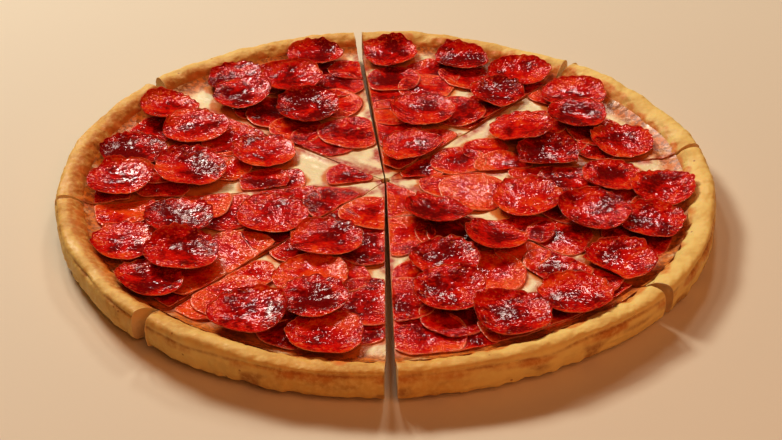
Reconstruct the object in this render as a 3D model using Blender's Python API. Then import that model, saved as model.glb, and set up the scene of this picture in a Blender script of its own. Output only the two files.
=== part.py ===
"""Pepperoni pizza, cut into eight slices that still lie together as one round.

Each slice has a dough node with its raised rim, a cheese node that runs through to both cuts, and
its upper pepperoni pieces as nodes of their own. Lower pepperoni pieces are fused to the cheese
that they are baked into. Metres, +Z up, the underside of the dough on the plane z = 0.
"""
import math

import bmesh
import bpy
import numpy as np
from mathutils import Vector, noise
from mathutils.bvhtree import BVHTree

MM = 0.001

# Driving sizes of the whole
PIZZA_RADIUS = 178.0 * MM
DOUGH_THICKNESS = 8.0 * MM
RIM_HEIGHT = 20.0 * MM
RIM_FOOT_RADIUS = 158.5 * MM
RIM_SLOPE_RUN = 5.0 * MM
RIM_SLOPE_TOP = 15.5 * MM
TIP_RADIUS = 1.6 * MM
SLICE_PUSH = 0.9 * MM
TOUCH_GAP = 0.3 * MM
SWEEP_STEPS = 12

# The rim's unevenness: how far it wanders in and out, and up and down
RIM_WANDER = 3.2 * MM
RIM_LUMPS = 1.6 * MM
RIM_SWELL = 0.07
UNEVEN_FROM = 120.0 * MM
FLARE_FROM = 162.0 * MM

# The cheese
CHEESE_TOP = 12.3 * MM
CHEESE_EDGE_TOP = 15.0 * MM
CHEESE_BUMP = 1.2 * MM
CHEESE_BUMP_SIZE = 17.0 * MM
CHEESE_RINGS = 6

# The pepperoni
PEPPERONI_THICKNESS = 1.3 * MM
PEPPERONI_GROWTH = 1.04
PEPPERONI_SIDES = 12
FUSED_SIDES = 8
FUSED_RISE = 1.1 * MM
FUSED_BOTTOM = 10.2 * MM
CUP_DEPTH = 1.7 * MM
EDGE_WAVE = 0.8 * MM
OUTLINE_WOBBLE = 0.08
CUT_MARGIN = 0.1 * MM
FUSED_STAGGER = 0.04 * MM
FUSED_BACK_FROM_RIM = 0.5 * MM
UPPER_UP_THE_RIM = 9.0 * MM
OVERHANG = 3.0 * MM
RAISE_STEP = 0.1 * MM
FEEL_AROUND = 2.5 * MM
REST_SHARE = 0.25

# Each slice: its two cuts, in degrees anticlockwise from +X, where they end at the rim's outer
# wall, and its pepperoni pieces from the lowest to the highest, as centre x, centre y and
# diameter in millimetres. Upper pieces may hang over a cut, but not over the long straight one.
SLICES = {
    1: {
        "cuts": (8.4, 48.5),
        "rim_cuts": (8.8, 47.6),
        "hangs": (True, True),
        "fused": [(100, 100, 26), (113, 75, 32), (98, 42, 34), (90, 62, 30), (120, 32, 24), (122, 53, 34),
                  (57, 33, 26), (20, 10, 24), (40, 20, 30), (66, 14, 30)],
        "upper": [(92, 22, 36), (135, 38, 36), (113, 94, 38), (78, 50, 38), (112, 65, 36)],
    },
    2: {
        "cuts": (48.9, 95.4),
        "rim_cuts": (49.8, 95.0),
        "hangs": (True, False),
        "fused": [(8, 23, 24), (5, 52, 32), (50, 70, 26), (0, 97, 32), (3, 76, 30), (28, 128, 34), (50, 122, 32), (25, 108, 34),
                  (83, 106, 32), (28, 42, 30), (62, 84, 30), (42, 77, 34), (5, 118, 32)],
        "upper": [(3, 149, 36), (48, 143, 34), (83, 124, 38), (68, 93, 34), (17, 29, 38), (22, 72, 38)],
    },
    3: {
        "cuts": (96.3, 142.9),
        "rim_cuts": (96.6, 141.5),
        "hangs": (False, True),
        "fused": [(-62, 135, 30), (-74, 116, 30), (-76, 82, 30), (-40, 104, 30), (-40, 131, 34),
                  (-30, 88, 32), (-65, 76, 36), (-84, 132, 28),
                  (-22, 130, 26), (-52, 56, 30), (-35, 44, 36), (-28, 110, 30), (-20, 52, 36)],
        "upper": [(-45, 146, 35), (-90, 114, 36), (-57, 111, 38), (-85, 90, 34), (-46, 76, 38)],
    },
    4: {
        "cuts": (143.3, 188.4),
        "rim_cuts": (144.6, 188.1),
        "hangs": (True, True),
        "fused": [(-92, 60, 26), (-122, -8, 28), (-150, -14, 24), (-108, 70, 30), (-135, 57, 30), (-85, 52, 32), (-107, 28, 38), (-88, 40, 32),
                  (-125, 10, 30), (-88, 14, 26), (-55, -1, 24), (-66, -2, 28), (-20, 5, 26)],
        "upper": [(-128, 79, 36), (-142, 28, 38), (-110, 52, 38), (-107, 6, 40), (-144, -5, 36),
                  (-68, 27, 36)],
    },
    5: {
        "cuts": (188.8, 228.8),
        "rim_cuts": (189.0, 227.6),
        "hangs": (True, True),
        "fused": [(-106, -110, 24), (-128, -50, 26), (-139, -31, 34), (-57, -55, 34), (-84, -33, 36), (-75, -70, 38), (-103, -24, 40),
                  (-120, -70, 28), (-96, -93, 32), (-52, -18, 34), (-27, -24, 34)],
        "upper": [(-118, -100, 38), (-133, -66, 36), (-108, -46, 36), (-60, -40, 38), (-103, -78, 38)],
    },
    6: {
        "cuts": (229.2, 270.1),
        "rim_cuts": (230.4, 269.9),
        "hangs": (True, False),
        "fused": [(-22, -92, 28), (-68, -90, 26), (-55, -118, 28), (-12, -134, 28), (-8, -66, 36),
                  (-28, -42, 28), (-46, -66, 28), (-86, -112, 32), (-76, -110, 36), (-46, -134, 34), (-8, -34, 34),
                  (-8, -114, 38)],
        "upper": [(-37, -97, 38), (-28, -144, 38), (-35, -118, 34), (-65, -130, 38), (-30, -65, 38)],
    },
    7: {
        "cuts": (271.4, 320.3),
        "rim_cuts": (271.6, 319.6),
        "hangs": (False, True),
        "fused": [(28, -52, 26), (86, -130, 26), (110, -100, 26), (8, -20, 36), (8, -55, 36),
                  (38, -54, 34), (70, -70, 28), (16, -92, 26),
                  (42, -146, 24), (45, -104, 32), (104, -93, 30),
                  (78, -122, 32), (20, -139, 36), (34, -126, 34), (52, -90, 36), (8, -112, 38),
                  (88, -82, 34), (60, -134, 32)],
        "upper": [(30, -82, 36), (57, -60, 34), (28, -36, 36), (32, -112, 36), (92, -115, 38),
                  (60, -131, 38)],
    },
    8: {
        "cuts": (320.7, 368.0),
        "rim_cuts": (321.4, 367.6),
        "hangs": (True, True),
        "fused": [(82, 6, 26), (98, -28, 34), (120, -22, 34), (144, -30, 28), (37, 1, 38), (100, -4, 34),
                  (48, -13, 36), (90, -57, 34), (73, -50, 30), (130, -58, 36)],
        "upper": [(75, -24, 38), (118, -82, 36), (125, -1, 36), (150, -14, 36), (140, -46, 34),
                  (110, -40, 38)],
    },
}

COLOURS = {
    "crust": ((0.58, 0.33, 0.12), 0.75),
    "cheese": ((0.80, 0.58, 0.28), 0.40),
    "pepperoni": ((0.30, 0.012, 0.008), 0.28),
}


def clear_scene():
    """Start from a scene with no objects in it."""
    for old in list(bpy.data.objects):
        bpy.data.objects.remove(old, do_unlink=True)


def new_collection(name):
    """A collection in the scene."""
    collection = bpy.data.collections.new(name)
    bpy.context.scene.collection.children.link(collection)
    return collection


def make_material(name, kind):
    """A Principled material in the colour of its kind of food."""
    colour, roughness = COLOURS[kind]
    material = bpy.data.materials.new(name)
    material.use_nodes = True
    shader = material.node_tree.nodes["Principled BSDF"]
    shader.inputs["Base Color"].default_value = (*colour, 1.0)
    shader.inputs["Roughness"].default_value = roughness
    shader.inputs["Metallic"].default_value = 0.0
    return material


def make_object(name, bm, kind, collection):
    """An object from a finished bmesh, with its own material."""
    bmesh.ops.recalc_face_normals(bm, faces=bm.faces)
    mesh = bpy.data.meshes.new(name)
    bm.to_mesh(mesh)
    bm.free()
    mesh.materials.append(make_material(name + "_material", kind))
    made = bpy.data.objects.new(name, mesh)
    collection.objects.link(made)
    return made


def ramp(value, start, end):
    """A smooth step from 0 at start to 1 at end."""
    t = min(1.0, max(0.0, (value - start) / (end - start)))
    return t * t * (3.0 - 2.0 * t)


def round_wobble(angle, waves, layer):
    """Smooth unevenness round the pizza, about -0.5 to 0.5, that closes on itself."""
    return noise.noise(Vector((math.cos(angle) * waves, math.sin(angle) * waves, layer * 7.3)))


def uneven(angle, radius, height):
    """Where a point of a perfectly round pizza lies on this hand-stretched one."""
    amount = ramp(radius, UNEVEN_FROM, RIM_FOOT_RADIUS - 1.0 * MM)
    radius += amount * RIM_WANDER * round_wobble(angle, 1.1, 1)
    radius += amount * RIM_LUMPS * round_wobble(angle, 5.0, 2)
    height *= 1.0 + amount * RIM_SWELL * 2.0 * round_wobble(angle, 3.0, 3)
    return radius, height


def flared(angle, radius, details):
    """The angle once a slice's cuts have opened wider across the rim."""
    start, end = (math.radians(cut) for cut in details["cuts"])
    rim_start, rim_end = (math.radians(cut) for cut in details["rim_cuts"])
    part = ((angle - start + 1.0) % (2.0 * math.pi) - 1.0) / (end - start)
    opening = (rim_start - start) * (1.0 - part) + (rim_end - end) * part
    return angle + opening * ramp(radius, FLARE_FROM, PIZZA_RADIUS - 2.0 * MM)


def slice_push(cuts):
    """How far the slice lies from the pizza's centre, along its middle."""
    middle = math.radians(sum(cuts) / 2.0)
    return Vector((math.cos(middle), math.sin(middle), 0.0)) * SLICE_PUSH


def sweep_slice(section, details):
    """A closed slice: a section, as radius and height, swept from one cut to the other."""
    cuts = details["cuts"]
    start, end = (math.radians(cut) for cut in cuts)
    bm = bmesh.new()
    corners = [bm.verts.new((r * math.cos(start), r * math.sin(start), z)) for r, z in section]
    face = bm.faces.new(corners)
    bmesh.ops.spin(
        bm, geom=[face], cent=(0, 0, 0), axis=(0, 0, 1), dvec=(0, 0, 0),
        angle=end - start, steps=SWEEP_STEPS, use_merge=False, use_duplicate=False,
    )
    push = slice_push(cuts)
    for vert in bm.verts:
        angle = math.atan2(vert.co.y, vert.co.x)
        radius = math.hypot(vert.co.x, vert.co.y)
        angle = flared(angle, radius, details)
        radius, height = uneven(angle, radius, vert.co.z)
        vert.co = Vector((radius * math.cos(angle), radius * math.sin(angle), height)) + push
    return bm


def crust_section():
    """The dough: flat below, with a raised rim that has a steep outer wall."""
    edge = PIZZA_RADIUS
    foot = RIM_FOOT_RADIUS
    return [
        (TIP_RADIUS, 0.0),
        (edge - 4.0 * MM, 0.0),
        (edge - 0.7 * MM, 4.5 * MM),
        (edge, 12.0 * MM),
        (edge - 0.6 * MM, 17.6 * MM),
        (edge - 3.4 * MM, RIM_HEIGHT),
        (foot + 9.5 * MM, 18.9 * MM),
        (foot + RIM_SLOPE_RUN, RIM_SLOPE_TOP),
        (foot, DOUGH_THICKNESS),
        (TIP_RADIUS, DOUGH_THICKNESS),
    ]


def cheese_section():
    """The cheese: flat on the dough, with its outer edge up against the rim's slope."""
    bottom = DOUGH_THICKNESS + TOUCH_GAP
    run_per_rise = RIM_SLOPE_RUN / (RIM_SLOPE_TOP - DOUGH_THICKNESS)
    low_edge = RIM_FOOT_RADIUS - 0.3 * MM
    high_edge = low_edge + (CHEESE_EDGE_TOP - bottom) * run_per_rise
    top = []
    for ring in range(CHEESE_RINGS + 1):
        part = ring / CHEESE_RINGS
        radius = TIP_RADIUS + (high_edge - 8.0 * MM - TIP_RADIUS) * part
        top.append((radius, CHEESE_TOP))
    top.append((high_edge, CHEESE_EDGE_TOP))
    return [(TIP_RADIUS, bottom), (low_edge, bottom)] + top[::-1]


def cheese_bump(x, y):
    """How much the melted cheese stands above or below its mean level."""
    size = CHEESE_BUMP_SIZE
    return CHEESE_BUMP * noise.noise(Vector((x / size, y / size, 4.7)))


def make_cheese(details):
    """The swept cheese layer, with its top made lumpy."""
    bm = sweep_slice(cheese_section(), details)
    for vert in bm.verts:
        if abs(vert.co.z - CHEESE_TOP) < 1.2 * MM:
            vert.co.z += cheese_bump(vert.co.x, vert.co.y)
    return bm


def cut_lines(cuts):
    """Both cuts of a slice, as a point on them and the direction into the slice."""
    push = slice_push(cuts)
    start, end = (math.radians(cut) for cut in cuts)
    inward = (Vector((-math.sin(start), math.cos(start), 0.0)), Vector((math.sin(end), -math.cos(end), 0.0)))
    return [(push, direction) for direction in inward]


def outline_radius(piece, cuts, direction, limits):
    """How far a pepperoni piece reaches one way: uneven, and straight where a cut went through.

    The limits are the piece's distance from each cut face, and the radius that it stays within.
    """
    x, y, diameter = piece
    cut_margins, rim_limit = limits
    centre = Vector((x, y, 0.0)) * MM
    heading = Vector((math.cos(direction), math.sin(direction), 0.0))
    wobble = noise.noise(Vector((math.cos(direction) * 1.3, math.sin(direction) * 1.3, x + y * 0.37)))
    reach = diameter / 2.0 * MM * PEPPERONI_GROWTH * (1.0 + OUTLINE_WOBBLE * 2.0 * wobble)
    for (point, inward), margin in zip(cut_lines(cuts), cut_margins):
        towards = -inward.dot(heading)
        if towards > 0.0:
            reach = min(reach, ((centre - point).dot(inward) - margin) / towards)
    end = centre + heading * reach
    limit = uneven(math.atan2(end.y, end.x), rim_limit, 0.0)[0]
    along = centre.dot(heading)
    reach_to_rim = -along + math.sqrt(along * along - centre.length_squared + limit * limit)
    return min(reach, reach_to_rim)


def unit_disc(sides, rings, lower_rings):
    """A flat closed disc one unit thick: its rings are fractions of the outline's radius."""
    profile = [(0.0, 1.0)] + [(ring, 1.0) for ring in rings]
    profile += [(ring, 0.0) for ring in reversed(lower_rings)] + [(0.0, 0.0)]
    bm = bmesh.new()
    points = [bm.verts.new((r, 0.0, z)) for r, z in profile]
    edges = [bm.edges.new(pair) for pair in zip(points, points[1:])]
    bmesh.ops.spin(
        bm, geom=points + edges, cent=(0, 0, 0), axis=(0, 0, 1), dvec=(0, 0, 0),
        angle=2.0 * math.pi, steps=sides, use_merge=True, use_duplicate=False,
    )
    bmesh.ops.remove_doubles(bm, verts=bm.verts, dist=0.0001)
    return bm


def height_below(trees, x, y):
    """The highest surface under a place."""
    highest = 0.0
    for tree in trees:
        hit = tree.ray_cast(Vector((x, y, 0.1)), Vector((0.0, 0.0, -1.0)))[0]
        if hit is not None:
            highest = max(highest, hit.z)
    return highest


def curl(piece, direction, fraction):
    """How much a baked piece rises towards its edge: a cup, with a gentle wave round it."""
    x, y, _ = piece
    cup = CUP_DEPTH * (1.0 + 0.9 * noise.noise(Vector((x * 0.31, y * 0.31, 2.2))))
    phase = 6.0 * noise.noise(Vector((x * 0.17, y * 0.17, 9.1)))
    wave = EDGE_WAVE * (math.sin(2.0 * direction + phase) + 0.6 * math.sin(3.0 * direction - phase))
    return cup * fraction ** 3 + wave * fraction ** 2


def resting_sheet(piece, reach, trees):
    """A gently bent sheet through the heights under a piece, as a function of place."""
    x, y, diameter = piece
    centre = Vector((x, y, 0.0)) * MM
    scale = diameter / 2.0 * MM
    places, heights = [], []
    for fraction in (0.0, 0.3, 0.6, 0.8, 0.97):
        for direction, radius in reach:
            spot = centre + Vector((math.cos(direction), math.sin(direction), 0.0)) * radius * fraction
            places.append((spot.x, spot.y))
            heights.append(height_below(trees, spot.x, spot.y))
    u = (np.array(places)[:, 0] - centre.x) / scale
    v = (np.array(places)[:, 1] - centre.y) / scale
    terms = np.stack([np.ones_like(u), u, v, u * u, u * v, v * v], axis=1)
    stiffness = np.diag([0.0, 0.5, 0.5, 25.0, 25.0, 25.0])
    weights = np.linalg.solve(terms.T @ terms + stiffness, terms.T @ np.array(heights))

    def sheet(px, py):
        a, b = (px - centre.x) / scale, (py - centre.y) / scale
        return float(np.dot(weights, (1.0, a, b, a * a, a * b, b * b)))

    return sheet, places, heights


def shape_disc(bm, piece, cuts, limits, height_at):
    """Move the unit disc's points to the piece's outline and height."""
    centre = Vector((piece[0], piece[1], 0.0)) * MM
    for vert in bm.verts:
        fraction = min(1.0, math.hypot(vert.co.x, vert.co.y))
        direction = math.atan2(vert.co.y, vert.co.x)
        heading = Vector((math.cos(direction), math.sin(direction), 0.0))
        place = centre + heading * outline_radius(piece, cuts, direction, limits) * fraction
        place.z = height_at(place, direction, fraction, vert.co.z)
        vert.co = place


def reaches(piece, cuts, limits, count=24):
    """The outline's radius in evenly spread directions."""
    directions = [2.0 * math.pi * step / count for step in range(count)]
    return [(direction, outline_radius(piece, cuts, direction, limits)) for direction in directions]


def make_fused(piece, cuts, trees, index):
    """A lower piece: its top shows, and its body reaches down into the cheese."""
    stagger = index * FUSED_STAGGER
    limits = ((CUT_MARGIN + stagger,) * 2, RIM_FOOT_RADIUS - FUSED_BACK_FROM_RIM)
    sheet, _, _ = resting_sheet(piece, reaches(piece, cuts, limits), trees)

    def height_at(place, direction, fraction, level):
        if level < 0.5:
            return FUSED_BOTTOM + stagger
        return sheet(place.x, place.y) + FUSED_RISE + 0.4 * curl(piece, direction, fraction)

    bm = unit_disc(FUSED_SIDES, (1.0,), (1.0,))
    shape_disc(bm, piece, cuts, limits, height_at)
    return bm


def felt_height(trees, place):
    """The highest surface under a place and close around it."""
    around = [(0.0, 0.0)]
    for step in range(6):
        direction = math.pi / 3.0 * step
        around.append((FEEL_AROUND * math.cos(direction), FEEL_AROUND * math.sin(direction)))
    return max(height_below(trees, place.x + dx, place.y + dy) for dx, dy in around)


def make_upper(piece, details, trees):
    """An upper piece: a thin cupped disc, bent over what lies under it and clear of it."""
    cuts = details["cuts"]
    margins = [-OVERHANG if hangs else CUT_MARGIN for hangs in details["hangs"]]
    limits = (margins, RIM_FOOT_RADIUS + UPPER_UP_THE_RIM)
    sheet, places, heights = resting_sheet(piece, reaches(piece, cuts, limits), trees)
    centre = Vector((piece[0], piece[1], 0.0)) * MM
    lift = 0.0
    for (x, y), height in zip(places, heights):
        offset = Vector((x - centre.x, y - centre.y, 0.0))
        direction = math.atan2(offset.y, offset.x)
        fraction = offset.length / max(outline_radius(piece, cuts, direction, limits), 1.0 * MM)
        under = sheet(x, y) + curl(piece, direction, min(1.0, fraction))
        lift = max(lift, height + TOUCH_GAP - under)

    def height_at(place, direction, fraction, level):
        if fraction > 0.9:
            place = centre + (place - centre) / fraction
            fraction = 1.0
        under = sheet(place.x, place.y) + curl(piece, direction, fraction) + lift * REST_SHARE
        return max(under, felt_height(trees, place) + TOUCH_GAP) + level * PEPPERONI_THICKNESS

    bm = unit_disc(PEPPERONI_SIDES, (0.58, 1.0), (0.58, 0.97))
    shape_disc(bm, piece, cuts, limits, height_at)
    bmesh.ops.triangulate(bm, faces=bm.faces)
    bm.normal_update()
    while any(BVHTree.FromBMesh(bm).overlap(tree) for tree in trees):
        bmesh.ops.translate(bm, verts=bm.verts, vec=(0.0, 0.0, RAISE_STEP))
    bmesh.ops.translate(bm, verts=bm.verts, vec=(0.0, 0.0, RAISE_STEP))
    return bm


def fuse(target, collection):
    """Join a collection's closed solids to the target with one union, then drop them."""
    modifier = target.modifiers.new("fuse", "BOOLEAN")
    modifier.operation = "UNION"
    modifier.operand_type = "COLLECTION"
    modifier.collection = collection
    modifier.solver = "MANIFOLD"
    bpy.context.view_layer.update()
    with bpy.context.temp_override(object=target, active_object=target, selected_objects=[target]):
        bpy.ops.object.modifier_apply(modifier=modifier.name)
    for piece in list(collection.objects):
        bpy.data.objects.remove(piece, do_unlink=True)
    bpy.data.collections.remove(collection)


def object_tree(made):
    """A search tree of an object's surface."""
    bm = bmesh.new()
    bm.from_mesh(made.data)
    tree = BVHTree.FromBMesh(bm)
    bm.free()
    return tree


def make_slice(number, details, collection):
    """One slice's dough, and its cheese with the lower pieces fused to it."""
    cuts = details["cuts"]
    crust = make_object(f"crust_{number}", sweep_slice(crust_section(), details), "crust", collection)
    cheese = make_object(f"cheese_{number}", make_cheese(details), "cheese", collection)
    trees = [object_tree(cheese)]
    lower = new_collection(f"lower_{number}")
    for index, piece in enumerate(details["fused"]):
        bm = make_fused(piece, cuts, trees, index)
        made = make_object(f"lower_{number}_{index}", bm, "pepperoni", lower)
        trees.append(object_tree(made))
    fuse(cheese, lower)
    return [object_tree(crust), object_tree(cheese)]


def lay_upper(number, details, trees, collection):
    """One slice's upper pieces, each laid over everything that is already there."""
    for index, piece in enumerate(details["upper"], start=1):
        name = f"pepperoni_{number}_{index}"
        made = make_object(name, make_upper(piece, details, trees), "pepperoni", collection)
        trees.append(object_tree(made))


def centre_on_origin(collection):
    """Move every mesh so that the whole's box is centred over the origin."""
    corners = [vert.co for made in collection.objects for vert in made.data.vertices]
    shift = Vector((
        (min(c.x for c in corners) + max(c.x for c in corners)) / 2.0,
        (min(c.y for c in corners) + max(c.y for c in corners)) / 2.0,
        0.0,
    ))
    for made in collection.objects:
        for vert in made.data.vertices:
            vert.co -= shift
    print("moved to the origin by", [round(value / MM, 4) for value in shift], "mm")


def shade(collection):
    """Round pieces are smooth, except across their sharp edges."""
    for made in collection.objects:
        with bpy.context.temp_override(object=made, active_object=made, selected_editable_objects=[made]):
            bpy.ops.object.shade_smooth_by_angle(angle=math.radians(40.0))


def main():
    clear_scene()
    collection = new_collection("pepperoni_pizza")
    trees = []
    for number, details in SLICES.items():
        trees += make_slice(number, details, collection)
    for number, details in SLICES.items():
        lay_upper(number, details, trees, collection)
    centre_on_origin(collection)
    shade(collection)
    total = sum(len(face.vertices) - 2 for made in collection.objects for face in made.data.polygons)
    print(len(collection.objects), "nodes and", total, "triangles")


main()
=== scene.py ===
"""The looks of a sliced pepperoni pizza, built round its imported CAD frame."""
import math

import bmesh
import bpy
import numpy as np
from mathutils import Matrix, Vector, noise
from mathutils.bvhtree import BVHTree


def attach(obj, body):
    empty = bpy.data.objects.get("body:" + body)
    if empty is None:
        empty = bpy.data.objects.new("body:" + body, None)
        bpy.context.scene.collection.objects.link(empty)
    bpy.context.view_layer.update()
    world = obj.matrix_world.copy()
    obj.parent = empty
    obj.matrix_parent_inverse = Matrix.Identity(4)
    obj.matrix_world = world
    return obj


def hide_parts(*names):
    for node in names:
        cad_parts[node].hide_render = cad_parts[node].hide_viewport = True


bl_info = {
    "name": "Pepperoni pizza",
    "version": (1, 0, 0),
    "blender": (4, 5, 0),
    "location": "View3D > Sidebar > Pizza",
    "description": "Bakes the looks of a sliced pepperoni pizza on its CAD frame",
    "category": "Object",
}

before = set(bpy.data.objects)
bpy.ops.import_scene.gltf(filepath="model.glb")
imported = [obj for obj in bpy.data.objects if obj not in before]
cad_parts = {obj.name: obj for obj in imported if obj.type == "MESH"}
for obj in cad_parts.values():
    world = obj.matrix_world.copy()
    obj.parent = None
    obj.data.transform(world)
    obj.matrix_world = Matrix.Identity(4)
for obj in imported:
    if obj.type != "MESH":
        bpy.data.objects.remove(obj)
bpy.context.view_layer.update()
MM = 0.001

# The frame's box is centred on the origin; the round that the slices were cut from is not.
ROUND_CENTRE = Vector((-0.5847, 0.3911, 0.0)) * MM

# How finely each shape is made
CRUST_LEVELS = 4
CHEESE_RINGS = 70
CHEESE_STEPS = 56
RISE_STEPS = 4
DISC_SEGMENTS = 48
DISC_RINGS = 18
DISC_SPOKES = 24
UPPER_LEVELS = 3
UPPER_SECTORS = 12

# The rim's wall: where it starts, inwards from the pizza's radius, its upright pleats, its level
# folds, and the crease that runs round it, with a dark line of painted shade in it and an amber
# band of painted shade just below
WALL_START = 9.0 * MM
PLEAT_WIDTH = 5.0 * MM
PLEAT_HEIGHT = 16.0 * MM
PLEAT_DEPTH = 1.2 * MM
FOLD_WIDTH = 24.0 * MM
FOLD_HEIGHT = 2.6 * MM
FOLD_DEPTH = 0.5 * MM
CREASE_HEIGHT = 16.4 * MM
CREASE_WANDER = 1.6 * MM
CREASE_WAVE = 38.0 * MM
CREASE_HALF = 0.9 * MM
CREASE_DEPTH = 0.95 * MM
SHADE_LINE_DROP = 0.3 * MM
SHADE_LINE_HALF = 0.8 * MM
SHADE_BAND_DROP = 2.2 * MM
SHADE_BAND_HALF = 2.4 * MM
# The rest of the dough: blisters, lumps on the rim's inner side, a fine grain, and how far beyond
# the rim's foot the cheese and its oil stain it
BLISTER_WIDTH = 14.0 * MM
SMALL_BLISTER = 5.5 * MM
BLISTER_HEIGHT = 0.9 * MM
LUMP_WIDTH = 6.0 * MM
LUMP_HEIGHT = 1.1 * MM
GRAIN_WIDTH = 2.2 * MM
GRAIN_HEIGHT = 0.2 * MM
STAIN_REACH = 9.5 * MM
STAIN_WANDER = 7.0 * MM
# The cheese: how far its last rise to the rim runs, and its small bumps
CHEESE_RISE = 8.0 * MM
DIMPLE_WIDTH = 4.5 * MM
DIMPLE_HEIGHT = 0.35 * MM
# The pepperoni's skin: broad and fine wrinkles, a thicker edge, and crinkles round the edge
WRINKLE_WIDTH = 7.0 * MM
WRINKLE_HEIGHT = 0.34 * MM
FINE_WRINKLE_WIDTH = 2.8 * MM
FINE_WRINKLE_HEIGHT = 0.22 * MM
LIP_HEIGHT = 0.2 * MM
CRINKLE_WIDTH = 3.5 * MM
CRINKLE_HEIGHT = 1.3 * MM
# How wide the oily stain round a pepperoni piece is
OIL_REACH = 5.0 * MM
# Half the width of an upper piece, used where a sector of its outline has no corner
USUAL_HALF = 17.0 * MM
# High enough above the pizza for a ray to start
ABOVE_ALL = 100.0 * MM
FULL_TURN = 2.0 * math.pi

# The lights: name, place, point aimed at, width, height, power and colour
LIGHTS = (
    ("window", (-1.18, 1.72, 1.66), (0.0, 0.0, 0.0), 0.7, 0.45, 50.0, (1.0, 0.98, 0.88)),
    ("back", (-0.48, 1.91, 1.78), (0.0, 0.0, 0.0), 0.28, 0.28, 10.0, (1.0, 0.95, 0.85)),
    ("back_right", (0.36, 1.9, 1.6), (0.05, 0.0, 0.0), 0.3, 0.3, 9.0, (1.0, 0.95, 0.85)),
    ("fill", (0.7, -1.3, 1.5), (0.0, 0.0, 0.0), 1.6, 1.6, 19.0, (1.0, 0.43, 0.18)),
)
WORLD_COLOUR = (1.0, 0.48, 0.25, 1.0)
WORLD_STRENGTH = 0.06

# The camera that was fitted to the photo, with places in the round's own coordinates
CAMERA_PLACE = Vector((0.0, -0.7047, 0.4421))
CAMERA_AIM = Vector((0.0030, -0.0204, 0.0))
CAMERA_LENS = 69.07
PICTURE_GAMMA = 0.85

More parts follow.
